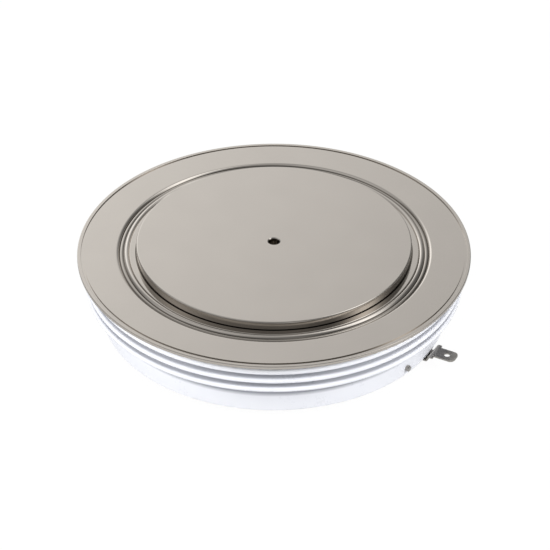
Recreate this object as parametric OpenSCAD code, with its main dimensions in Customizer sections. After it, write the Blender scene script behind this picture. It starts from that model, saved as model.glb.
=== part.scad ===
// Disc thyristor: a press-pack semiconductor capsule with two copper pole faces,
// a ribbed alumina housing, a gate feed-through and a plug-on auxiliary cathode tab.
// Millimetres. Z is the capsule axis, z = 0 is the cathode pole face, X runs along the tab.

/* [Housing] */
// Outer diameter of the weld ring, the widest round of the capsule
weld_ring_d = 120; // [110:1:130]
// Height over both pole faces
total_h = 26; // [25:0.1:28]

/* [Pole pieces] */
// Radial distance from the outer rim in to the pole wall
pole_inset = 18; // [17.4:0.1:19]
// Rounding of the pole face edge
pole_edge_r = 0.4; // [0.2:0.1:0.6]
// Width of the shoulder that carries the flange sheet
shoulder_w = 1.7; // [1.5:0.05:1.75]
// Height of that shoulder
shoulder_h = 2.9; // [2:0.1:4]
// How far the contact face of the anode pole stays inside its wall
anode_contact_inset = 3.5; // [2.5:0.1:7]
// How far the contact face of the cathode pole stays inside its wall
cathode_contact_inset = 5; // [4:0.1:8]
// Height of the cathode pole piece
cathode_pole_h = 10.6; // [10:0.1:11]
// Diameter of the centring hole in each pole face
centre_hole_d = 3.5; // [3:0.1:4]
// Depth of the centring hole
centre_hole_depth = 3; // [2:0.1:3.6]
// Chamfer at the mouth of the centring hole
centre_hole_chamfer = 0.25; // [0.1:0.05:0.5]

/* [Anode flange] */
// How far the anode pole face stands above the weld ring
anode_rise = 2.65; // [2.2:0.05:3.2]
// Thickness of both flange sheets
sheet_t = 0.3; // [0.2:0.05:0.4]
// Gap between the pole wall and the inner edge of the sheet
lid_gap = 0.35; // [0.2:0.05:0.5]
// Width from the pole wall over the ledge to the first bead
ledge_w = 2.15; // [2.05:0.05:2.6]
// Depth of the ledge below the flat outer part
ledge_drop = 0.15; // [0.1:0.05:0.2]
// Rounding of the ledge where it turns down to the bead
ledge_edge_r = 0.2; // [0.2:0.05:0.3]
// Width of the first bead
bead_w = 1.8; // [1.6:0.05:2]
// Height of the first bead above a line between its two feet
bead_h = 0.5; // [0.4:0.02:0.6]
// Depth of the inner foot of the first bead below the flat outer part
bead_in_drop = 0.27; // [0.25:0.01:0.3]
// Depth of the valley between the two beads
valley_drop = 0.55; // [0.45:0.05:0.65]
// Width of the second bead
ridge_w = 1.2; // [1:0.05:1.4]
// Height of the second bead above a line between its two feet
ridge_h = 0.2; // [0.15:0.01:0.25]
// Radius of the rounding from the second bead up to the flat outer part
flat_edge_r = 1.2; // [1.1:0.05:1.3]
// Angle through which that rounding turns, in degrees
flat_edge_angle = 61; // [56:1:66]

/* [Weld ring] */
// Thickness of the weld ring
weld_ring_t = 1; // [0.8:0.1:1.2]
// Width of the raised rim round the anode flange
weld_rim_w = 1.1; // [0.8:0.1:1.6]
// Gap between that rim and the edge of the anode flange
weld_gap = 0.7; // [0.3:0.05:1]
// How far the bore of the weld ring stays outside the rounding of the anode flange
weld_ring_clear = 0.5; // [0.3:0.05:0.6]
// Rounding of the outer edges of the rim
weld_ring_edge = 0.2; // [0.05:0.05:0.3]

/* [Ceramic ring] */
// How far the housing stands inside the bore of the weld ring
ceramic_step = 0.2; // [0.1:0.05:0.4]
// Thickness of the plain lower wall
wall_t = 4.7; // [4.2:0.1:5]
// Thickness of the wall at the floor of the grooves between sheds
neck_t = 6.1; // [5:0.1:6.4]
// How far the sheds stay inside the outer rim
shed_inset = 2.2; // [1.6:0.1:2.6]
// Number of sheds
shed_count = 3; // [2:1:3]
// Height between one shed and the next
shed_pitch = 3.11; // [2.9:0.01:3.3]
// Rounding of each shed nose
shed_nose_r = 0.8; // [0.6:0.05:0.9]
// Fillet under the lowest shed
shed_fillet_r = 1.5; // [1:0.1:2]
// Rounding of the lower outer edge
ceramic_edge_r = 0.3; // [0.2:0.1:0.8]

/* [Cathode flange] */
// How far the cathode pole face stands below its flange sheet
cathode_rise = 1.9; // [1.6:0.05:2]
// How far the edge of the cathode flange stays inside the housing wall
cathode_flange_inset = 1.2; // [0.8:0.1:2]
// Gap between the pole shoulder and the elastic groove pressed into the sheet
cathode_groove_gap = 0.6; // [0.4:0.1:0.8]
// Width of that groove
cathode_groove_w = 3; // [2.6:0.1:3.2]
// Depth of that groove
cathode_groove_h = 0.45; // [0.3:0.05:0.6]
// Width of the sloping sides of that groove
cathode_groove_slope = 0.5; // [0.4:0.05:0.6]

/* [Wafer stack] */
// How far the cathode molybdenum disc stays inside the pole wall
cathode_moly_inset = 4.5; // [4:0.1:7]
// Thickness of the cathode molybdenum disc
cathode_moly_t = 2; // [1.5:0.1:2.2]
// Diameter of the gate opening in that disc
gate_opening_d = 6; // [5:0.1:7]
// How far the silicon wafer stays inside the pole wall
wafer_inset = 2; // [1.5:0.1:2.3]
// Thickness of the silicon wafer
wafer_t = 0.8; // [0.6:0.05:1]
// Thickness of the anode molybdenum disc alloyed to the wafer
anode_moly_t = 2.5; // [2:0.1:2.8]
// Width of the silicone rim outside the wafer edge
rim_w = 2.5; // [2:0.1:2.6]
// How far the silicone rim reaches over the cathode side of the wafer
rim_lap = 1.6; // [1:0.1:1.9]
// How far the silicone rim covers the edge of each disc
rim_cover = 1.2; // [0.8:0.1:1.4]

/* [Locating ring] */
// Clearance of the locating ring round the parts it centres
locating_clear = 0.2; // [0.1:0.05:0.3]
// Gap between the locating ring and the bore of the housing
locating_gap = 0.6; // [0.3:0.1:1]
// How far the skirt of the locating ring stays inside the pole shoulder
locating_skirt_inset = 0.5; // [0.2:0.1:1]
// Thickness of the shelf under the silicone rim
locating_shelf_t = 1.4; // [1.2:0.1:1.6]

/* [Gate contact] */
// Angle of the gate feed-through about the axis
gate_angle = -13.2; // [-16:0.2:-11]
// Height of the gate feed-through above the cathode pole face
gate_tube_z = 4.5; // [4:0.1:5]
// Outer diameter of the gate tube
gate_tube_d = 1.8; // [1.6:0.1:2]
// Bore of the gate tube
gate_tube_bore_d = 1; // [0.9:0.05:1.1]
// How far the gate tube stands out of the housing wall
gate_tube_out = 0.9; // [0.6:0.1:2]
// How far the gate tube stands into the housing
gate_tube_in = 0.9; // [0.5:0.1:1.1]
// Thickness of the solder cap on the tube end
seal_cap_t = 0.25; // [0.2:0.05:0.4]
// How far inside the tube the solder stops short of the housing bore
seal_short = 1; // [0.5:0.1:2]
// Diameter of the gate lead wire
lead_d = 0.8; // [0.6:0.05:0.85]
// Bend radius of the gate lead
lead_bend_r = 1.2; // [1:0.1:1.3]
// Distance from the housing bore at which the lead climbs
lead_climb_gap = 2.7; // [2.5:0.1:2.9]
// How far the middle of the lead lies below the top of the cathode pole
lead_drop = 1.6; // [1.4:0.1:1.8]
// Outer diameter of the insulating sleeve on the lead
sleeve_d = 1.9; // [1.6:0.1:2]
// How far the sleeve stops short of the climbing lead
sleeve_short = 1.9; // [1.8:0.1:2.8]
// Clearance at the sides of the slot for the sleeve
slot_clear = 0.25; // [0.15:0.05:0.4]
// Diameter of the pocket for the gate contact in the cathode pole
pocket_d = 8; // [7.6:0.1:8.6]
// Depth of that pocket
pocket_depth = 4.4; // [4:0.1:4.8]
// Clearance of the insulating cup in the pocket
cup_clear = 0.1; // [0.05:0.05:0.2]
// Wall of the insulating cup
cup_wall = 1; // [0.8:0.1:1.2]
// Floor of the insulating cup
cup_floor = 1; // [0.8:0.1:1.2]
// How far the cup stays below the cathode moly disc
cup_drop = 0.2; // [0.1:0.05:0.4]
// Diameter of the contact pin collar
collar_d = 4.8; // [4.4:0.1:5]
// Thickness of the contact pin collar
collar_t = 1.3; // [1.2:0.1:1.4]
// Diameter of the contact pin tip
pin_d = 2.2; // [1.8:0.1:2.6]
// Diameter of the guide under the collar
guide_d = 1.8; // [1.4:0.1:2]
// Length of that guide
guide_l = 0.6; // [0.4:0.1:0.7]
// Thickness of the cup spring sheet
spring_t = 0.25; // [0.2:0.05:0.3]
// Bore of the cup spring
spring_bore_d = 2.4; // [2.2:0.1:2.6]
// Outer diameter of the cup spring
spring_d = 5.4; // [5:0.1:5.6]

/* [Auxiliary cathode tab] */
// Sheet thickness of the tab
tab_t = 0.5; // [0.4:0.05:0.6]
// Width of the plug-on blade
tab_w = 4.75; // [4.5:0.05:5]
// Diameter of the latching hole
tab_hole_d = 1.8; // [1.2:0.1:1.9]
// Distance of the latching hole from the housing wall
tab_hole_out = 6.05; // [5.8:0.05:8]
// Length of the blade beyond the hole
tab_tip = 3; // [2.6:0.1:3.4]
// Corner rounding of the blade tip
tab_corner_r = 1.6; // [0.6:0.1:1.9]
// Width over the two ears
ear_w = 6.9; // [6.2:0.1:7.4]
// Distance of the ears from the housing wall
ear_out = 1.3; // [1.2:0.05:1.6]
// Length of the ears along the tab
ear_l = 1.5; // [1.2:0.05:1.8]
// Width of the foot welded under the cathode flange
foot_w = 5.8; // [5:0.1:6.2]
// How far the foot reaches in under the housing wall
foot_in = 4.6; // [3.8:0.1:4.8]
// Distance from the housing wall at which the foot bends up
foot_out = 0.2; // [0.1:0.05:0.4]
// Height of the blade above the foot
tab_step = 2.05; // [1.8:0.05:2.4]
// Steepness of the riser between foot and blade, in degrees
riser_angle = 65; // [60:1:75]
// Inside rounding of the two bends
tab_bend_r = 0.3; // [0.25:0.05:0.5]

/* [Quality] */
// Points on each small rounding
arc_n = 6; // [4:1:8]

/* [Hidden] */
$fn = 96;

// Radii, from the outer rim in to the pole and from the pole out along the anode flange
housing_r = weld_ring_d / 2;
pole_r = housing_r - pole_inset;
shoulder_r = pole_r + shoulder_w;
bead_in_r = pole_r + ledge_w;
bead_out_r = bead_in_r + bead_w;
ridge_out_r = bead_out_r + ridge_w;
flat_start_r = ridge_out_r + flat_edge_r * sin(flat_edge_angle);
weld_rim_r = housing_r - weld_rim_w;
anode_flange_r = weld_rim_r - weld_gap;
weld_ring_bore_r = flat_start_r + weld_ring_clear;
bore_r = weld_ring_bore_r - ceramic_step;
wall_r = bore_r + wall_t;
neck_r = bore_r + neck_t;
shed_r = housing_r - shed_inset;
cathode_flange_r = wall_r - cathode_flange_inset;
cathode_groove_in_r = shoulder_r + cathode_groove_gap;
cathode_groove_out_r = cathode_groove_in_r + cathode_groove_w;
anode_contact_r = pole_r - anode_contact_inset;
cathode_contact_r = pole_r - cathode_contact_inset;
cathode_moly_r = pole_r - cathode_moly_inset;
wafer_r = pole_r - wafer_inset;
rim_r = wafer_r + rim_w;
locating_in_r = max(cathode_contact_r, cathode_moly_r) + locating_clear;
locating_skirt_r = shoulder_r - locating_skirt_inset;
locating_lip_r = bore_r - locating_gap;
gate_tube_start = bore_r - gate_tube_in;
gate_tube_end = wall_r + gate_tube_out;
seal_start = bore_r + seal_short;
lead_climb_r = bore_r - lead_climb_gap;
sleeve_end_r = lead_climb_r - sleeve_short;
cup_r = pocket_d / 2 - cup_clear;

// Heights, up from the cathode pole face
weld_top_z = total_h - anode_rise;
weld_seat_z = weld_top_z - sheet_t;
ceramic_top_z = weld_top_z - weld_ring_t;
seat_z = cathode_rise + sheet_t;
wafer_z = cathode_pole_h + cathode_moly_t;
anode_moly_z = wafer_z + wafer_t;
anode_contact_z = anode_moly_z + anode_moly_t;
ledge_z = weld_top_z - ledge_drop;
anode_shoulder_z = ledge_z - sheet_t;
lead_z = cathode_pole_h - lead_drop;
slot_floor_z = lead_z - sleeve_d / 2;
slot_w = sleeve_d + 2 * slot_clear;
pocket_z = cathode_pole_h - pocket_depth;
spring_z = pocket_z + cup_floor;
collar_z = lead_z - collar_t / 2;
rim_z = wafer_z - rim_cover;
rim_top_z = anode_moly_z + rim_cover;
foot_z = cathode_rise - tab_t;
blade_z = foot_z + tab_step;

// Points of an arc about (cx, cz) from angle a0 to a1
function arc(cx, cz, r, a0, a1, n = arc_n) =
    [for (i = [0:n]) [cx + r * cos(a0 + (a1 - a0) * i / n), cz + r * sin(a0 + (a1 - a0) * i / n)]];

// Points between the ends of an arc from (x0, z0) to (x1, z1), h high over its chord
function bow(x0, z0, x1, z1, h, n = 2 * arc_n) =
    let (l = norm([x1 - x0, z1 - z0]), c = l / 2, r = (c * c + h * h) / (2 * h), a = asin(c / r),
         ux = (x1 - x0) / l, uz = (z1 - z0) / l)
    [for (i = [1:n - 1])
        let (t = a * (2 * i / n - 1), along = c + r * sin(t), over = r * cos(t) - r + h)
        [x0 + ux * along - uz * over, z0 + uz * along + ux * over]];

// A sheet section: the upper line, and the same line one sheet thickness lower
function sheet(line, t) =
    concat(line, [for (i = [len(line) - 1:-1:0]) [line[i][0], line[i][1] - t]]);

// One shed of the housing seen in section, followed by the groove under it
function shed(i) =
    let (z = ceramic_top_z - shed_pitch * (i + 1), g = (shed_pitch - 2 * shed_nose_r) / 2,
         last = i == shed_count - 1)
    concat(
        arc(shed_r - shed_nose_r, z, shed_nose_r, 90, -90, 2 * arc_n),
        last
            ? arc(wall_r + shed_fillet_r, z - shed_nose_r - shed_fillet_r, shed_fillet_r, 90, 180)
            : arc(neck_r + g, z - shed_pitch / 2, g, 90, 270, 2 * arc_n));

// Turned copper pole on the anode side, nickel plated, with shoulder and centring hole
module anode_pole() {
    color([0.72, 0.70, 0.67])
        rotate_extrude()
            polygon(concat(
                [[0, anode_contact_z],
                 [anode_contact_r, anode_contact_z],
                 [anode_contact_r, anode_shoulder_z - shoulder_h],
                 [shoulder_r, anode_shoulder_z - shoulder_h],
                 [shoulder_r, anode_shoulder_z],
                 [pole_r, anode_shoulder_z]],
                arc(pole_r - pole_edge_r, total_h - pole_edge_r, pole_edge_r, 0, 90),
                [[centre_hole_d / 2 + centre_hole_chamfer, total_h],
                 [centre_hole_d / 2, total_h - centre_hole_chamfer],
                 [centre_hole_d / 2, total_h - centre_hole_depth],
                 [0, total_h - centre_hole_depth]]));
}

// Pressed lid sheet, brazed to the pole shoulder and welded to the seat of the ring
module anode_flange() {
    bead_in_z = weld_top_z - bead_in_drop;
    valley_z = weld_top_z - valley_drop;
    ridge_out_z = weld_top_z - flat_edge_r * (1 - cos(flat_edge_angle));
    ledge_a = acos(1 - (ledge_z - bead_in_z) / ledge_edge_r);
    ledge_end_r = bead_in_r - ledge_edge_r * sin(ledge_a);
    color([0.74, 0.72, 0.69])
        rotate_extrude()
            polygon(sheet(concat(
                [[pole_r + lid_gap, ledge_z]],
                arc(ledge_end_r, ledge_z - ledge_edge_r, ledge_edge_r, 90, 90 - ledge_a),
                bow(bead_in_r, bead_in_z, bead_out_r, valley_z, bead_h),
                [[bead_out_r, valley_z]],
                bow(bead_out_r, valley_z, ridge_out_r, ridge_out_z, ridge_h),
                arc(flat_start_r, weld_top_z - flat_edge_r, flat_edge_r, 90 + flat_edge_angle, 90),
                [[anode_flange_r, weld_top_z]]), sheet_t));
}

// Ring brazed on the housing, with a seat for the lid and a raised rim round it
module weld_ring() {
    edge_r = housing_r - weld_ring_edge;
    color([0.70, 0.68, 0.65])
        rotate_extrude()
            polygon(concat(
                [[weld_ring_bore_r, ceramic_top_z]],
                arc(edge_r, ceramic_top_z + weld_ring_edge, weld_ring_edge, -90, 0),
                arc(edge_r, weld_top_z - weld_ring_edge, weld_ring_edge, 0, 90),
                [[weld_rim_r, weld_top_z],
                 [weld_rim_r, weld_seat_z],
                 [weld_ring_bore_r, weld_seat_z]]));
}

// Glazed alumina housing: sheds above, plain wall with the gate opening below
module ceramic_ring() {
    neck_fillet = (shed_pitch - 2 * shed_nose_r) / 2;
    top_shed_z = ceramic_top_z - shed_pitch + shed_nose_r;
    sheds = [for (i = [0:shed_count - 1]) each shed(i)];
    color([0.95, 0.95, 0.97])
        difference() {
            rotate_extrude()
                polygon(concat(
                    [[bore_r, seat_z], [bore_r, ceramic_top_z],
                     [neck_r, ceramic_top_z]],
                    arc(neck_r + neck_fillet, top_shed_z + neck_fillet, neck_fillet, 180, 270),
                    sheds,
                    arc(wall_r - ceramic_edge_r, seat_z + ceramic_edge_r, ceramic_edge_r, 0, -90)));
            rotate([0, 0, gate_angle])
                translate([gate_tube_start, 0, gate_tube_z])
                    rotate([0, 90, 0])
                        cylinder(d = gate_tube_d, h = shed_r - gate_tube_start);
        }
}

// Pressed sheet brazed between the housing and the shoulder of the cathode pole
module cathode_flange() {
    groove_floor_z = seat_z + cathode_groove_h;
    color([0.72, 0.70, 0.67])
        rotate_extrude()
            polygon(sheet([
                [pole_r, seat_z],
                [cathode_groove_in_r, seat_z],
                [cathode_groove_in_r + cathode_groove_slope, groove_floor_z],
                [cathode_groove_out_r - cathode_groove_slope, groove_floor_z],
                [cathode_groove_out_r, seat_z],
                [cathode_flange_r, seat_z]], sheet_t));
}

// Turned copper pole on the cathode side, with the gate pocket and the slot for its lead
module cathode_pole() {
    color([0.72, 0.70, 0.67])
        difference() {
            rotate_extrude()
                polygon(concat(
                    [[0, centre_hole_depth],
                     [centre_hole_d / 2, centre_hole_depth],
                     [centre_hole_d / 2, centre_hole_chamfer],
                     [centre_hole_d / 2 + centre_hole_chamfer, 0]],
                    arc(pole_r - pole_edge_r, pole_edge_r, pole_edge_r, -90, 0),
                    [[pole_r, seat_z],
                     [shoulder_r, seat_z],
                     [shoulder_r, seat_z + shoulder_h],
                     [cathode_contact_r, seat_z + shoulder_h],
                     [cathode_contact_r, cathode_pole_h],
                     [0, cathode_pole_h]]));
            translate([0, 0, pocket_z])
                cylinder(d = pocket_d, h = pocket_depth + 1);
            rotate([0, 0, gate_angle])
                translate([0, -slot_w / 2, slot_floor_z])
                    cube([pole_r, slot_w, cathode_pole_h]);
        }
}

// Molybdenum disc between cathode pole and wafer, open in the middle for the gate pin
module cathode_moly_disc() {
    color([0.55, 0.56, 0.58])
        translate([0, 0, cathode_pole_h])
            difference() {
                cylinder(r = cathode_moly_r, h = cathode_moly_t);
                translate([0, 0, -1])
                    cylinder(d = gate_opening_d, h = cathode_moly_t + 2);
            }
}

// Diffused silicon wafer
module silicon_wafer() {
    color([0.30, 0.31, 0.35])
        translate([0, 0, wafer_z])
            cylinder(r = wafer_r, h = wafer_t);
}

// Molybdenum disc alloyed to the anode side of the wafer
module anode_moly_disc() {
    color([0.55, 0.56, 0.58])
        translate([0, 0, anode_moly_z])
            cylinder(r = wafer_r, h = anode_moly_t);
}

// Silicone rubber moulded round the wafer edge
module wafer_rim() {
    lap_r = wafer_r - rim_lap;
    color([0.80, 0.45, 0.35])
        rotate_extrude()
            polygon([
                [lap_r, rim_z],
                [rim_r, rim_z],
                [rim_r, rim_top_z],
                [wafer_r, rim_top_z],
                [wafer_r, wafer_z],
                [lap_r, wafer_z]]);
}

// Moulded ring that stands on the cathode shoulder and centres pole and wafer
module locating_ring() {
    shelf_z = rim_z - locating_shelf_t;
    color([0.90, 0.88, 0.80])
        difference() {
            rotate_extrude()
                polygon([
                    [locating_in_r, seat_z + shoulder_h],
                    [locating_skirt_r, seat_z + shoulder_h],
                    [locating_skirt_r, shelf_z],
                    [locating_lip_r, shelf_z],
                    [locating_lip_r, rim_top_z],
                    [rim_r + locating_clear, rim_top_z],
                    [rim_r + locating_clear, rim_z],
                    [locating_in_r, rim_z]]);
            rotate([0, 0, gate_angle])
                translate([0, -slot_w / 2, slot_floor_z])
                    cube([locating_lip_r + 1, slot_w, sleeve_d + slot_clear]);
        }
}

// Insulating cup in the gate pocket, notched for the lead
module gate_insulator() {
    cup_h = pocket_depth - cup_drop;
    color([0.85, 0.83, 0.75])
        difference() {
            translate([0, 0, pocket_z])
                cylinder(r = cup_r, h = cup_h);
            translate([0, 0, spring_z])
                cylinder(r = cup_r - cup_wall, h = cup_h);
            rotate([0, 0, gate_angle])
                translate([0, -sleeve_d / 2, slot_floor_z])
                    cube([pocket_d, sleeve_d, pocket_depth]);
        }
}

// Cup spring that presses the gate pin on the wafer
module gate_spring() {
    color([0.60, 0.60, 0.62])
        rotate_extrude()
            polygon([
                [spring_d / 2, spring_z],
                [spring_d / 2, spring_z + spring_t],
                [spring_bore_d / 2, collar_z],
                [spring_bore_d / 2, collar_z - spring_t]]);
}

// Gate contact pin with a collar in which the lead is fixed
module gate_pin() {
    color([0.75, 0.74, 0.72])
        difference() {
            rotate_extrude()
                polygon([
                    [0, collar_z - guide_l],
                    [guide_d / 2, collar_z - guide_l],
                    [guide_d / 2, collar_z],
                    [collar_d / 2, collar_z],
                    [collar_d / 2, collar_z + collar_t],
                    [pin_d / 2, collar_z + collar_t],
                    [pin_d / 2, wafer_z],
                    [0, wafer_z]]);
            rotate([0, 0, gate_angle])
                translate([collar_d / 4, 0, lead_z])
                    rotate([0, 90, 0])
                        cylinder(d = lead_d, h = collar_d);
        }
}

// Nickel wire from the pin through the slot and down to the feed-through tube
module gate_lead() {
    up_r = lead_climb_r;
    low_z = gate_tube_z;
    color([0.80, 0.79, 0.76])
        rotate([0, 0, gate_angle])
            union() {
                translate([collar_d / 4, 0, lead_z])
                    rotate([0, 90, 0])
                        cylinder(d = lead_d, h = up_r - lead_bend_r - collar_d / 4);
                translate([up_r - lead_bend_r, 0, lead_z - lead_bend_r])
                    rotate([90, 0, 0])
                        rotate_extrude(angle = 90)
                            translate([lead_bend_r, 0])
                                circle(d = lead_d);
                translate([up_r, 0, low_z + lead_bend_r])
                    cylinder(d = lead_d, h = lead_z - low_z - 2 * lead_bend_r);
                translate([up_r + lead_bend_r, 0, low_z + lead_bend_r])
                    rotate([90, 180, 0])
                        rotate_extrude(angle = 90)
                            translate([lead_bend_r, 0])
                                circle(d = lead_d);
                translate([up_r + lead_bend_r, 0, low_z])
                    rotate([0, 90, 0])
                        cylinder(d = lead_d, h = gate_tube_end - up_r - lead_bend_r);
            }
}

// Insulating sleeve on the lead inside the slot
module gate_lead_sleeve() {
    start_r = pocket_d / 2;
    color([0.93, 0.92, 0.88])
        rotate([0, 0, gate_angle])
            translate([start_r, 0, lead_z])
                rotate([0, 90, 0])
                    difference() {
                        cylinder(d = sleeve_d, h = sleeve_end_r - start_r);
                        translate([0, 0, -1])
                            cylinder(d = lead_d, h = sleeve_end_r - start_r + 2);
                    }
}

// Metal tube brazed through the housing wall
module gate_tube() {
    color([0.60, 0.58, 0.55])
        rotate([0, 0, gate_angle])
            translate([gate_tube_start, 0, gate_tube_z])
                rotate([0, 90, 0])
                    difference() {
                        cylinder(d = gate_tube_d, h = gate_tube_end - gate_tube_start);
                        translate([0, 0, -1])
                            cylinder(d = gate_tube_bore_d, h = gate_tube_end - gate_tube_start + 2);
                    }
}

// Solder that closes the tube round the lead
module gate_tube_seal() {
    color([0.66, 0.66, 0.66])
        rotate([0, 0, gate_angle])
            translate([seal_start, 0, gate_tube_z])
                rotate([0, 90, 0])
                    difference() {
                        union() {
                            cylinder(d = gate_tube_bore_d, h = gate_tube_end - seal_start);
                            translate([0, 0, gate_tube_end - seal_start])
                                cylinder(d = gate_tube_d, h = seal_cap_t);
                        }
                        translate([0, 0, -1])
                            cylinder(d = lead_d, h = gate_tube_end - seal_start + 1);
                    }
}

// Stamped and joggled plug-on tab, its foot spot welded under the cathode flange
module aux_cathode_tab() {
    hole_x = wall_r + tab_hole_out;
    tip = hole_x + tab_tip;
    ear_start = wall_r + ear_out;
    ear_end = ear_start + ear_l;
    foot_start = wall_r - foot_in;
    foot_end = wall_r + foot_out;
    a = riser_angle;
    mid_r = tab_bend_r + tab_t / 2;
    out_r = tab_bend_r + tab_t;
    riser_l = (tab_step - 2 * mid_r + 2 * mid_r * cos(a)) / sin(a);
    bend_x = foot_end + 2 * mid_r * sin(a) + riser_l * cos(a);
    low_z = foot_z + out_r;
    high_z = blade_z - tab_bend_r;
    half = tab_w / 2;
    corner = tip - tab_corner_r;
    color([0.58, 0.56, 0.53])
        difference() {
            intersection() {
                translate([0, ear_w, 0])
                    rotate([90, 0, 0])
                        linear_extrude(height = 2 * ear_w)
                            polygon(concat(
                                [[foot_start, foot_z]],
                                arc(foot_end, low_z, out_r, -90, a - 90),
                                arc(bend_x, high_z, tab_bend_r, a + 90, 90),
                                [[tip, blade_z], [tip, blade_z + tab_t]],
                                arc(bend_x, high_z, out_r, 90, a + 90),
                                arc(foot_end, low_z, tab_bend_r, a - 90, -90),
                                [[foot_start, foot_z + tab_t]]));
                translate([0, 0, foot_z - 1])
                    linear_extrude(height = tab_step + tab_t + 2)
                        polygon(concat(
                            [[foot_start, -foot_w / 2],
                             [ear_start, -foot_w / 2],
                             [ear_start, -ear_w / 2],
                             [ear_end, -ear_w / 2],
                             [ear_end, -half]],
                            arc(corner, -half + tab_corner_r, tab_corner_r, -90, 0),
                            arc(corner, half - tab_corner_r, tab_corner_r, 0, 90),
                            [[ear_end, half],
                             [ear_end, ear_w / 2],
                             [ear_start, ear_w / 2],
                             [ear_start, foot_w / 2],
                             [foot_start, foot_w / 2]]));
            }
            translate([hole_x, 0, foot_z])
                cylinder(d = tab_hole_d, h = tab_step + tab_t + 1);
        }
}

anode_pole();
anode_flange();
weld_ring();
ceramic_ring();
cathode_flange();
cathode_pole();
cathode_moly_disc();
silicon_wafer();
anode_moly_disc();
wafer_rim();
locating_ring();
gate_insulator();
gate_spring();
gate_pin();
gate_lead();
gate_lead_sleeve();
gate_tube();
gate_tube_seal();
aux_cathode_tab();
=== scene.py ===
import math

import bmesh
import bpy
import numpy as np
from mathutils import Matrix, Vector


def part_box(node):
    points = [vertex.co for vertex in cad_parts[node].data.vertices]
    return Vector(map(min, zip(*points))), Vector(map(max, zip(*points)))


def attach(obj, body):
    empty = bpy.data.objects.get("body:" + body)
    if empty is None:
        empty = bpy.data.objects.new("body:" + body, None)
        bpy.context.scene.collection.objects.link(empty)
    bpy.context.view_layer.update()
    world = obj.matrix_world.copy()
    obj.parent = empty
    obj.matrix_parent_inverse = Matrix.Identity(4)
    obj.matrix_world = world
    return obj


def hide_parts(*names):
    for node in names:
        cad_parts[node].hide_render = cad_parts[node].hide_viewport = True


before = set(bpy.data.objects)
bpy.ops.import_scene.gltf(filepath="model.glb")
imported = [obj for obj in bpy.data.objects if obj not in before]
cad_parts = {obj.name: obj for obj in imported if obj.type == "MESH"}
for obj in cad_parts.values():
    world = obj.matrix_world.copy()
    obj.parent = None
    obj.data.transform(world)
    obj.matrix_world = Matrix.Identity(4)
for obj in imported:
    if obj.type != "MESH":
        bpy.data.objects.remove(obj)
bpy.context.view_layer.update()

# Cathode pole: a turned copper slug under the capsule, nickel plated all over.
# Its flat face sits on a heat sink and carries a centring hole; the pocket and slot for
# the gate contact are milled into its inner side. The plating is satin with fine turning marks.
mm = 0.001


class Wire:
    """A socket of one node tree: arithmetic on it adds Math nodes, add() adds any other node."""

    def __init__(self, tree, socket=None):
        self.tree = tree
        self.socket = socket

    def add(self, kind, settings, sockets, out=0):
        """A new node with its settings, then its socket values or links; gives one of its outputs."""
        node = self.tree.nodes.new(kind)
        for key, value in settings.items():
            setattr(node, key, value)
        for key, value in sockets.items():
            if isinstance(value, Wire):
                self.tree.links.new(value.socket, node.inputs[key])
            else:
                node.inputs[key].default_value = value
        return Wire(self.tree, node.outputs[out])

    def maths(self, operation, first, second):
        """A Math node with this operation on two values."""
        return self.add("ShaderNodeMath", {"operation": operation}, {0: first, 1: second})

    def __add__(self, other):
        return self.maths("ADD", self, other)

    __radd__ = __add__

    def __sub__(self, other):
        return self.maths("SUBTRACT", self, other)

    def __rsub__(self, other):
        return self.maths("SUBTRACT", other, self)

    def __mul__(self, other):
        return self.maths("MULTIPLY", self, other)

    __rmul__ = __mul__

    def __pow__(self, other):
        return self.maths("POWER", self, other)

    def feed(self, node, socket):
        """Link this socket to an input of a node."""
        self.tree.links.new(self.socket, node.inputs[socket])


def new_finish(name):
    """A new material; gives it, its Principled shader and a wire of Object coordinates."""
    finish = bpy.data.materials.new(name)
    finish.use_nodes = True
    tree = finish.node_tree
    place = Wire(tree).add("ShaderNodeTexCoord", {}, {}, "Object")
    return finish, tree.nodes["Principled BSDF"], place


def noise(place, size, detail=2.0):
    """Soft random values about 0.5, with blotches about this size in metres."""
    return place.add("ShaderNodeTexNoise", {}, {"Vector": place, "Scale": 1 / size, "Detail": detail})


def blend_colours(part, low, high):
    """The colour low where part is 0 and high where it is 1."""
    return part.add("ShaderNodeMix", {"data_type": "RGBA"}, {0: part, 6: (*low, 1), 7: (*high, 1)}, 2)


def painted_shade_over(share, ground, painted_colour):
    """The ground colour, covered by this share of a painted shade colour."""
    return share.add("ShaderNodeMix", {"data_type": "RGBA"}, {0: share, 6: ground, 7: (*painted_colour, 1)}, 2)


def ramp(value, start, end):
    """0 where the value is start and 1 where it is end, even between them and held beyond."""
    return value.add("ShaderNodeMapRange", {}, {0: value, 1: start, 2: end})


def axis_distance(place):
    """How far a place is from the axis of the capsule: the length of (x, y, 0)."""
    level = place.add("ShaderNodeVectorMath", {"operation": "MULTIPLY"}, {0: place, 1: (1, 1, 0)})
    return level.add("ShaderNodeVectorMath", {"operation": "LENGTH"}, {0: level}, "Value")


def height(place):
    """The z of a place, measured from the cathode face."""
    return place.add("ShaderNodeSeparateXYZ", {}, {0: place}, "Z")


def roughen(shader, relief, depth):
    """The relief as bumps of this depth on the shader's surface."""
    bumps = relief.add("ShaderNodeBump", {}, {"Strength": 1.0, "Distance": depth, "Height": relief})
    bumps.feed(shader, "Normal")


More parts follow.
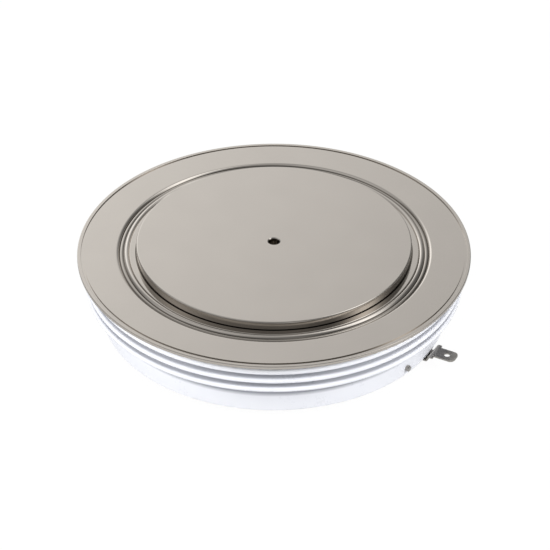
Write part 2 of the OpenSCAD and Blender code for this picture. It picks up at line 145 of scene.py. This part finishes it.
def nickel(name, colour, rough, marks, shade_heights=None):
    """Nickel plate: faint clouds in the colour, uneven gloss, and round tool marks this deep.

    Where heights are given, the plate is darkened with painted shade lower down: it sets in at the first
    height and is full at the second.
    """
    cloud_size, grain_size, mark_width = 14 * mm, 0.5 * mm, 0.8 * mm
    # The colour of the painted shade in hollows, and how much of it covers the plate.
    crease_shade, crease_shade_share = (0.1, 0.087, 0.07), 0.92
    finish, shader, place = new_finish(name)
    shader.inputs["Metallic"].default_value = 1.0
    clouds = noise(place, cloud_size, 3.0)
    grain = noise(place, grain_size)
    plate = blend_colours(clouds, [0.96 * c for c in colour], [1.04 * c for c in colour])
    if shade_heights:
        plate = painted_shade_over(crease_shade_share * ramp(height(place), *shade_heights), plate, crease_shade)
    plate.feed(shader, "Base Color")
    (rough - 0.04 + 0.04 * clouds + 0.04 * grain).feed(shader, "Roughness")
    radius = axis_distance(place)
    turning = radius.add("ShaderNodeTexNoise", {"noise_dimensions": "1D"},
                         {"W": radius, "Scale": 1 / mark_width, "Detail": 3.0})
    roughen(shader, turning + 0.5 * grain, marks)
    return finish


def dress(node, finish):
    """Give a CAD node this finish in place of its own."""
    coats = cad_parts[node].data.materials
    coats.clear()
    coats.append(finish)


bright_nickel, pole_gloss, pole_marks = (0.55, 0.512, 0.468), 0.14, 0.0004 * mm
pole_plate = nickel("pole_nickel", bright_nickel, pole_gloss, pole_marks)
dress("cathode_pole", pole_plate)

# Cathode flange: a thin round of nickel-plated sheet with one pressed elastic groove.
# It is brazed under the housing and on the shoulder of the cathode pole, and closes the capsule below.
sheet_t, sheet_gloss, sheet_marks = 0.3 * mm, 0.12, 0.0002 * mm
pole_r, flange_r, flange_rise = 42 * mm, 52 * mm, 2.2 * mm
groove_in, groove_out, groove_slope, groove_rise = 44.3 * mm, 47.3 * mm, 0.5 * mm, 0.45 * mm


def held(points):
    """The section with extra points close to both ends of each long run, so flats shade flat."""
    margin, long_run = 0.03 * mm, 0.2 * mm
    start = np.asarray(points, float)
    step = np.roll(start, -1, axis=0) - start
    length = np.linalg.norm(step, axis=1)
    near = step * (margin / np.maximum(length, 1e-9))[:, None]
    rows = np.stack([start, start + near, start + step - near], axis=1)
    keep = np.stack([length > 0, length > long_run, length > long_run], axis=1)
    return rows[keep]


def turned(name, points, finish, closed=True, steps=384, lay=None):
    """A round piece: the section point (r, z) goes round to (r cos t, r sin t, z).

    A closed section is a ring; an open one runs from axis to axis and its axis points merge.
    """
    section = held(points) if closed else held(points)[:-2]
    r, z = section.T
    t = np.linspace(0, 2 * np.pi, steps, endpoint=False)
    grid = np.stack([np.outer(r, np.cos(t)), np.outer(r, np.sin(t)), np.outer(z, np.ones(steps))], axis=-1)
    rows = len(section) if closed else len(section) - 1
    i, j = np.meshgrid(np.arange(rows), np.arange(steps), indexing="ij")
    i_next, j_next = (i + 1) % len(section), (j + 1) % steps
    quads = np.stack([i * steps + j, i * steps + j_next, i_next * steps + j_next, i_next * steps + j], axis=-1)
    mesh = bpy.data.meshes.new(name)
    mesh.from_pydata(grid.reshape(-1, 3), [], quads.reshape(-1, 4).tolist())
    if lay is not None:
        mesh.transform(lay)
    return finished(name, mesh, finish)


def clean_up(mesh, closest):
    """Points nearer than closest are merged, and all faces turned outwards."""
    work = bmesh.new()
    work.from_mesh(mesh)
    bmesh.ops.remove_doubles(work, verts=work.verts, dist=closest)
    bmesh.ops.recalc_face_normals(work, faces=work.faces)
    work.to_mesh(mesh)
    work.free()


def finished(name, mesh, finish):
    """The mesh cleaned up, with smooth curves and sharp edges, on a new object at the origin."""
    clean_up(mesh, 1e-7)
    mesh.shade_smooth()
    mesh.set_sharp_from_angle(angle=math.radians(32))
    mesh.materials.append(finish)
    piece = bpy.data.objects.new(name, mesh)
    bpy.context.scene.collection.objects.link(piece)
    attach(piece, "root")
    return piece


def arc(cx, cz, r, start, end, n=8):
    """Points of a circle about (cx, cz) from one angle to the other, in degrees."""
    a = np.radians(np.linspace(start, end, n + 1))
    return np.stack([cx + r * np.cos(a), cz + r * np.sin(a)], axis=1)


def sheet(line):
    """A section of sheet metal: the upper line, and the same line one thickness lower."""
    return np.concatenate([line, (line - [0, sheet_t])[::-1]])


flange_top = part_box("cathode_pole")[0].z + flange_rise
flange_line = np.array([
    [pole_r, 0], [groove_in, 0], [groove_in + groove_slope, groove_rise],
    [groove_out - groove_slope, groove_rise], [groove_out, 0], [flange_r, 0]]) + [0, flange_top]
flange_plate = nickel("flange_nickel", bright_nickel, sheet_gloss, sheet_marks)
cathode_flange = turned("cathode_flange_sheet", sheet(flange_line), flange_plate)
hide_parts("cathode_flange")

# Housing: a ring of pressed and fired alumina, white glazed outside, with three sheds above
# that lengthen the creeping path and a plain lower wall. Between the sheds and under the last one
# the white is greyed with painted shade. Both metal sides are brazed on to the ring.
bore_r, wall_r, neck_r, shed_r = 48.5 * mm, 53.2 * mm, 54.6 * mm, 57.8 * mm
housing_low, housing_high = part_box("ceramic_ring")[0].z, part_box("ceramic_ring")[1].z
shed_pitch, nose_r, fillet_r, foot_round = 3.11 * mm, 0.8 * mm, 1.5 * mm, 0.3 * mm
gap_r = shed_pitch / 2 - nose_r
nose_z = housing_high - shed_pitch * np.arange(1, 4)


def shed_nose(z):
    """The half round at the rim of the shed whose middle is at z."""
    return arc(shed_r - nose_r, z, nose_r, 90, -90, 16)


def shed_gap(z):
    """The half round between the shed at z and the next one below."""
    return arc(neck_r + gap_r, z - shed_pitch / 2, gap_r, 90, 270, 16)


housing_line = np.concatenate([
    [[bore_r, housing_low], [bore_r, housing_high], [neck_r, housing_high]],
    arc(neck_r + gap_r, nose_z[0] + nose_r + gap_r, gap_r, 180, 270),
    shed_nose(nose_z[0]), shed_gap(nose_z[0]),
    shed_nose(nose_z[1]), shed_gap(nose_z[1]),
    shed_nose(nose_z[2]),
    arc(wall_r + fillet_r, nose_z[2] - nose_r - fillet_r, fillet_r, 90, 180, 12),
    arc(wall_r - foot_round, housing_low + foot_round, foot_round, 0, -90)])

# The grey of the painted shade in the grooves, and the depth of the glaze's relief.
painted_groove_shade, glaze_relief = (0.30, 0.31, 0.35), 0.0012 * mm
glaze, shader, place = new_finish("glazed_alumina")
shader.inputs["Specular IOR Level"].default_value = 0.45
clouds = noise(place, 9 * mm, 3.0)
specks = noise(place, 0.7 * mm)
white = blend_colours(clouds, (0.76, 0.775, 0.825), (0.80, 0.81, 0.85))
# Painted shade: the shed tops between the noses and the wall just under the last shed are greyed where shadow
# falls.
shade_on_tops = 0.6 * ramp(axis_distance(place), shed_r - 0.3 * mm, shed_r - 1.1 * mm)
shade_on_wall = 0.4 * ramp(axis_distance(place), wall_r + 1.3 * mm, wall_r + 0.3 * mm)
shade_band_height = ramp(height(place), nose_z[2] - 5.7 * mm, nose_z[2] - 4.3 * mm)
painted_shade_over((shade_on_tops + shade_on_wall) * shade_band_height, white, painted_groove_shade).feed(shader, "Base Color")
(0.2 + 0.12 * clouds + 0.06 * specks).feed(shader, "Roughness")
roughen(shader, clouds + 0.3 * specks, glaze_relief)
housing = turned("glazed_housing", housing_line, glaze)
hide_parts("ceramic_ring")

# Gate feed-through: a short metal tube brazed through the lower wall, closed at its end by a
# drop of solder round the gate lead. Tube and lead come from inside, level with the tab.
gate_way = math.radians(-13.2)
gate_z = 4.5 * mm
tube_r, tube_bore_r, tube_edge = 0.9 * mm, 0.5 * mm, 0.08 * mm
tube_start, tube_end, drop_end = 47.6 * mm, 54.1 * mm, 54.35 * mm
lay_gate = (Matrix.Rotation(gate_way, 4, "Z") @ Matrix.Translation((0, 0, gate_z))
            @ Matrix.Rotation(math.pi / 2, 4, "Y"))
tube_metal = nickel("gate_tube_metal", (0.36, 0.34, 0.31), 0.34, 0.002 * mm)
tube_line = np.concatenate([
    [[tube_bore_r, tube_start], [tube_r, tube_start]],
    arc(tube_r - tube_edge, tube_end - tube_edge, tube_edge, 0, 90, 4),
    [[tube_bore_r, tube_end]]])
gate_tube = turned("gate_tube_stub", tube_line, tube_metal, steps=64, lay=lay_gate)
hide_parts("gate_tube")

drop_r = 0.82 * mm
solder = nickel("solder_tin", (0.50, 0.49, 0.47), 0.38, 0.006 * mm)
quarter_turn = np.linspace(0.1, np.pi / 2, 10)
drop_dome = [drop_r * np.cos(quarter_turn), tube_end + (drop_end - tube_end) * np.sin(quarter_turn)]
drop_line = np.concatenate([[[0, tube_end], [drop_r, tube_end]], np.stack(drop_dome, axis=1)])
drop_line[-1, 0] = 0
solder_drop = turned("gate_tube_solder", drop_line, solder, closed=False, steps=64, lay=lay_gate)
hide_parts("gate_tube_seal")

# Gate contact and wafer stack: the sprung pin and its lead in their moulded cup and sleeve, the
# metallised wafer between two lapped discs with its rubber rim, and the moulded ring that
# centres them. They lie loose in the capsule and are held by the clamping force.


def plain_finish(name, low, high, metal, rough, grain):
    """A finish with blotches between two colours, uneven gloss and a fine grain of this size."""
    blotch_size, grain_relief = 6 * mm, 0.004 * mm
    finish, shader, place = new_finish(name)
    shader.inputs["Metallic"].default_value = metal
    blotch = noise(place, blotch_size, 3.0)
    fine = noise(place, grain)
    blend_colours(blotch, low, high).feed(shader, "Base Color")
    (rough + 0.1 * fine).feed(shader, "Roughness")
    roughen(shader, fine, grain_relief)
    return finish


inner_finishes = {
    plain_finish("lapped_molybdenum", (0.24, 0.245, 0.26), (0.30, 0.305, 0.32), 1.0, 0.42, 0.3 * mm):
        ["cathode_moly_disc", "anode_moly_disc"],
    plain_finish("metallised_silicon", (0.14, 0.145, 0.17), (0.20, 0.205, 0.24), 0.6, 0.2, 0.4 * mm):
        ["silicon_wafer"],
    plain_finish("silicone_rubber", (0.58, 0.17, 0.10), (0.66, 0.22, 0.14), 0.0, 0.6, 0.5 * mm):
        ["wafer_rim"],
    plain_finish("moulded_plastic", (0.76, 0.72, 0.60), (0.82, 0.79, 0.68), 0.0, 0.5, 0.4 * mm):
        ["locating_ring", "gate_insulator", "gate_lead_sleeve"],
    plain_finish("spring_wire", (0.50, 0.49, 0.46), (0.58, 0.56, 0.53), 1.0, 0.3, 0.3 * mm):
        ["gate_spring", "gate_pin", "gate_lead"]}
for finish, names in inner_finishes.items():
    for name in names:
        dress(name, finish)

# Auxiliary cathode tab: a stamping of nickel-plated sheet with two ears and a latching hole,
# bent up in a joggle. Its foot is spot welded under the cathode flange, its blade takes a plug.
tab_t, tab_bend_r, riser_angle = 0.5 * mm, 0.55 * mm, math.radians(65)
tab_low, tab_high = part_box("aux_cathode_tab")
foot_z, blade_z = tab_low.z + tab_t / 2, tab_high.z - tab_t / 2
hole_x, hole_r = 59.25 * mm, 0.9 * mm
foot_half, ear_half, blade_half, tip_r = 2.9 * mm, 3.45 * mm, 2.375 * mm, 1.6 * mm
ear_start, ear_end, bend_low_x = 54.5 * mm, 56.0 * mm, 53.4 * mm
riser = (blade_z - foot_z - 2 * tab_bend_r * (1 - math.cos(riser_angle))) / math.sin(riser_angle)
bend_high_x = bend_low_x + 2 * tab_bend_r * math.sin(riser_angle) + riser * math.cos(riser_angle)
tab_path = np.concatenate([
    [[tab_low.x, foot_z]],
    arc(bend_low_x, foot_z + tab_bend_r, tab_bend_r, -90, -25, 14),
    arc(bend_high_x, blade_z - tab_bend_r, tab_bend_r, 155, 90, 14),
    [[tab_high.x, blade_z]]])
step_half, half_turn, closest_x = 0.01 * mm, np.linspace(0, np.pi, 25), 2e-6
tab_x = np.unique(np.concatenate([
    np.linspace(tab_low.x, bend_low_x, 9), tab_path[1:-1, 0],
    [ear_start - step_half, ear_start + step_half, ear_end - step_half, ear_end + step_half],
    hole_x - hole_r * np.cos(half_turn), tab_high.x - tip_r * (1 - np.sin(half_turn[:13]))]))
tab_x = tab_x[np.concatenate([[True], np.diff(tab_x) > closest_x])]


def tab_width(x):
    """Half the width at each x: foot, ears and blade in steps, and a quarter round at the tip."""
    wide = np.where(x < ear_start, foot_half, np.where(x < ear_end, ear_half, blade_half))
    tip = np.clip(x - (tab_high.x - tip_r), 0, tip_r)
    return wide - (tip_r - np.sqrt(tip_r ** 2 - tip ** 2))


def tab_surface(side):
    """The middle of the sheet on one side: y runs from the hole's edge to the outline, z follows the bends."""
    hole = np.sqrt(np.clip(hole_r ** 2 - (tab_x - hole_x) ** 2, 0, None))
    share = np.linspace(0, 1, 7)
    y = side * (hole[:, None] + (tab_width(tab_x) - hole)[:, None] * share)
    x = np.repeat(tab_x[:, None], len(share), axis=1)
    z = np.interp(x, tab_path[:, 0], tab_path[:, 1])
    return np.stack([x, y, z], axis=-1)


tab_grid = np.stack([tab_surface(1), tab_surface(-1)])
number = np.arange(tab_grid[..., 0].size).reshape(tab_grid.shape[:3])
tab_quads = np.stack([number[:, :-1, :-1], number[:, 1:, :-1], number[:, 1:, 1:], number[:, :-1, 1:]], axis=-1)
tab_quads[1] = tab_quads[1, ..., ::-1]
tab_mesh = bpy.data.meshes.new("tab_sheet")
tab_mesh.from_pydata(tab_grid.reshape(-1, 3), [], tab_quads.reshape(-1, 4).tolist())
clean_up(tab_mesh, 1e-6)
blank = bpy.data.objects.new("tab_blank", tab_mesh)
bpy.context.scene.collection.objects.link(blank)
thickening = blank.modifiers.new("sheet", "SOLIDIFY")
thickening.thickness, thickening.offset, thickening.use_even_offset = tab_t, 0, True
rounding = blank.modifiers.new("stamped_edge", "BEVEL")
rounding.width, rounding.segments, rounding.limit_method = 0.05 * mm, 2, "ANGLE"
rounding.angle_limit = math.radians(50)
tab_solid = bpy.data.meshes.new_from_object(blank.evaluated_get(bpy.context.evaluated_depsgraph_get()))
bpy.data.objects.remove(blank)
tab_metal = nickel("tab_nickel", (0.45, 0.432, 0.40), 0.33, 0.004 * mm)
tab = finished("auxiliary_cathode_tab", tab_solid, tab_metal)
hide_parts("aux_cathode_tab")

# Weld ring: a turned ring of plated steel brazed on top of the housing. Its raised rim is the
# widest round of the capsule; inside it lies the seat on which the lid is welded.
rim_r, rim_in_r, ring_bore_r = 60 * mm, 58.9 * mm, 48.7 * mm
rim_low, rim_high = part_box("weld_ring")[0].z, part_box("weld_ring")[1].z
lid_seat, rim_round, lip_round = rim_high - sheet_t, 0.2 * mm, 0.06 * mm
ring_line = np.concatenate([
    [[ring_bore_r, rim_low]],
    arc(rim_r - rim_round, rim_low + rim_round, rim_round, -90, 0),
    arc(rim_r - rim_round, rim_high - rim_round, rim_round, 0, 90),
    arc(rim_in_r + lip_round, rim_high - lip_round, lip_round, 90, 180, 4),
    [[rim_in_r, lid_seat], [ring_bore_r, lid_seat]]])
weld_ring = turned("weld_ring_rim", ring_line, flange_plate)
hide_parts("weld_ring")

# Anode pole: a turned copper slug like the one below, plated satin nickel. Its face has a
# rounded edge and a chamfered centring hole; the lid is brazed on its shoulder. Down in the gap
# to the lid, and as deep in the hole, the plate is darkened with painted shade.
pole_low, pole_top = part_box("anode_pole")[0].z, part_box("anode_pole")[1].z
contact_r, shoulder_r, shoulder_top, shoulder_t = 38.5 * mm, 43.7 * mm, 22.9 * mm, 2.9 * mm
mouth_chamfer, centring_r, centring_floor = 0.25 * mm, 1.75 * mm, pole_top - 3 * mm
face_edge = 0.4 * mm
pole_line = np.concatenate([
    [[0, pole_low], [contact_r, pole_low], [contact_r, shoulder_top - shoulder_t],
     [shoulder_r, shoulder_top - shoulder_t], [shoulder_r, shoulder_top], [pole_r, shoulder_top]],
    arc(pole_r - face_edge, pole_top - face_edge, face_edge, 0, 90, 10),
    [[centring_r + mouth_chamfer, pole_top], [centring_r, pole_top - mouth_chamfer],
     [centring_r, centring_floor], [0, centring_floor]]])
# Painted shade: the plate darkens from a little above the shoulder down, in the gap to the lid and as deep in
# the hole.
anode_plate = nickel("anode_pole_nickel", bright_nickel, pole_gloss, pole_marks,
                     shade_heights=(shoulder_top + 0.5 * mm, shoulder_top + 0.25 * mm))
anode_pole = turned("anode_pole_face", pole_line, anode_plate, closed=False)
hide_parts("anode_pole")

# Anode flange: the lid, one pressed sheet of nickel-plated steel, brazed on the pole's shoulder and
# welded to the ring. From a narrow gap round the pole outwards it has a ledge, a high and a low bead,
# a rounding and a flat rim. The sharp creases beside the low bead are darkened with painted shade.
lid_hole_r, lid_r = 42.35 * mm, 58.2 * mm
ledge_drop, ledge_end, ledge_round = 0.15 * mm, 43.967 * mm, 0.2 * mm
high_bead_in, high_bead_rise = [44.15 * mm, -0.27 * mm], 0.5 * mm
beads_meet = [45.95 * mm, -0.55 * mm]
low_bead_out, low_bead_rise = [47.15 * mm, -0.618 * mm], 0.2 * mm
rim_start, rim_bend = 48.2 * mm, 1.2 * mm


def bow(start, end, rise, n=16):
    """Points from start to end along an arc that stands rise over its chord."""
    start, end = np.asarray(start), np.asarray(end)
    half = np.linalg.norm(end - start) / 2
    along = (end - start) / (2 * half)
    radius = (half ** 2 + rise ** 2) / (2 * rise)
    a = np.linspace(-1, 1, n + 1) * math.asin(half / radius)
    rest = np.outer(radius * np.cos(a) - radius + rise, [-along[1], along[0]])
    return (start + end) / 2 + np.outer(radius * np.sin(a), along) + rest


lid_line = np.concatenate([
    [[lid_hole_r, -ledge_drop]],
    arc(ledge_end, -ledge_drop - ledge_round, ledge_round, 90, 23.6, 6),
    bow(high_bead_in, beads_meet, high_bead_rise)[1:],
    bow(beads_meet, low_bead_out, low_bead_rise)[1:],
    arc(rim_start, -rim_bend, rim_bend, 151, 90, 12)[1:],
    [[lid_r, 0]]]) + [0, rim_high]
# Painted shade: the lid darkens where it lies more than a quarter of a millimetre below the rim.
lid_plate = nickel("lid_nickel", bright_nickel, sheet_gloss, sheet_marks,
                   shade_heights=(rim_high - 0.25 * mm, rim_high - 0.62 * mm))
lid = turned("lid_sheet", sheet(lid_line), lid_plate)
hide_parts("anode_flange")

# Studio: white paper that the capsule lies on, a light tent that is brightest low behind it, at the
# right and overhead, weaker low in front and at the left, and white to the camera, three lamps that
# light only the matt parts, and the camera.
camera_turn, camera_tilt = math.radians(28.6), math.radians(34.52)
right = Vector((math.cos(camera_turn), math.sin(camera_turn), 0))
away = Vector((-math.sin(camera_turn), math.cos(camera_turn), 0))
back = math.sin(camera_tilt) * Vector((0, 0, 1)) - math.cos(camera_tilt) * away
up = math.cos(camera_tilt) * Vector((0, 0, 1)) + math.sin(camera_tilt) * away

floor_half, white_to_camera, white_in_metal = 4, 0.92, 0.3
floor_corners = [(floor_half * x, floor_half * y, 0) for x, y in ((-1, -1), (1, -1), (1, 1), (-1, 1))]
floor_mesh = bpy.data.meshes.new("floor")
floor_mesh.from_pydata(floor_corners, [], [(0, 1, 2, 3)])
floor_paint = bpy.data.materials.new("white_paper")
floor_paint.use_nodes = True
floor_tree = floor_paint.node_tree
floor_tree.nodes.remove(floor_tree.nodes["Principled BSDF"])
seen = Wire(floor_tree).add("ShaderNodeLightPath", {}, {}, "Is Camera Ray")
mirrored = seen.add("ShaderNodeLightPath", {}, {}, "Is Glossy Ray")
through = seen.add("ShaderNodeLightPath", {}, {}, "Is Transmission Ray")
paper = seen.add("ShaderNodeBsdfDiffuse", {}, {"Color": (0.5, 0.5, 0.5, 1)})
glow = seen.add("ShaderNodeEmission", {}, {"Color": (1, 1, 1, 1), "Strength": 1.05})
white_share = white_to_camera * (seen + through) + white_in_metal * mirrored
lit_paper = seen.add("ShaderNodeMixShader", {}, {0: white_share, 1: paper, 2: glow})
lit_paper.feed(floor_tree.nodes["Material Output"], "Surface")
floor_mesh.materials.append(floor_paint)
floor = bpy.data.objects.new("floor", floor_mesh)
bpy.context.scene.collection.objects.link(floor)

world = bpy.data.worlds.new("light_tent")
bpy.context.scene.world = world
world.use_nodes = True
tent = Wire(world.node_tree)
way = tent.add("ShaderNodeTexCoord", {}, {}, "Generated")


def glow_from(direction, strength, width):
    """Light that is strongest in one direction and falls off as a power of the cosine to it."""
    cosine = way.add("ShaderNodeVectorMath", {"operation": "DOT_PRODUCT"},
                     {0: way, 1: direction.normalized()}, "Value")
    return strength * way.maths("MAXIMUM", cosine, 0.0) ** width


# Each light of the tent: how far it is to the right, away from the camera and up, its strength and
# how narrow it is. A faint light all round comes with them.
tent_lights = (
    (-0.195, 0.919, 0.342, 1.08, 8.0),
    (-0.31, 0.83, 0.46, 0.75, 60.0),
    (-0.377, 0.018, 0.926, 0.5, 7.3),
    (0.313, 0.368, 0.876, 2.2, 49.0),
    (0.797, -0.14, 0.585, 1.25, 40.0),
    (0.60, 0.0, 0.80, 1.9, 40.0),
    (-0.487, -0.525, 0.698, 0.08, 1.0),
    (0.272, -0.927, 0.259, 0.6, 40.0),
    (-0.866, 0.0, 0.5, 0.35, 16.0))
tent_light = 0.137
for sideways, behind, above, strength, width in tent_lights:
    way_there = sideways * right + behind * away + above * Vector((0, 0, 1))
    tent_light = glow_from(way_there, strength, width) + tent_light
backdrop = world.node_tree.nodes["Background"]
backdrop.inputs["Color"].default_value = (1, 1, 1, 1)
camera_ray = tent.add("ShaderNodeLightPath", {}, {}, "Is Camera Ray")
(tent_light * (1 - camera_ray) + camera_ray).feed(backdrop, "Strength")

# Each lamp: its name, how many degrees it stands to the right of the camera, and its power.
lamp_distance, lamp_height, lamp_target = 0.83, 0.46, Vector((0, 0, 0.012))
for name, degrees, power in (("left_lamp", -74, 5.3), ("front_lamp", -10, 4.3), ("right_lamp", 72, 5.2)):
    lamp = bpy.data.lights.new(name, "AREA")
    lamp.shape, lamp.size, lamp.size_y, lamp.energy = "RECTANGLE", 0.5, 0.16, power
    stand = bpy.data.objects.new(name, lamp)
    turn = math.radians(degrees)
    foot = lamp_distance * (math.sin(turn) * right - math.cos(turn) * away)
    stand.location = foot + Vector((0, 0, lamp_height))
    stand.rotation_euler = (lamp_target - stand.location).to_track_quat("-Z", "Y").to_euler()
    stand.visible_glossy = False
    bpy.context.scene.collection.objects.link(stand)

camera_distance, aim_right, aim_down = 785.8 * mm, 0.302 * mm, 8.16 * mm
camera = bpy.data.cameras.new("camera")
camera.sensor_width, camera.lens = 36, 168.48
camera.clip_start, camera.clip_end = 0.05, 20
eye = bpy.data.objects.new("camera", camera)
target = Vector((0, 0, 23.35 * mm))
eye.location = target + camera_distance * back
aim = target + aim_right * right - aim_down * up
eye.rotation_euler = (aim - eye.location).to_track_quat("-Z", "Y").to_euler()
bpy.context.scene.collection.objects.link(eye)
bpy.context.scene.camera = eye
bpy.context.scene.view_settings.view_transform = "Standard"
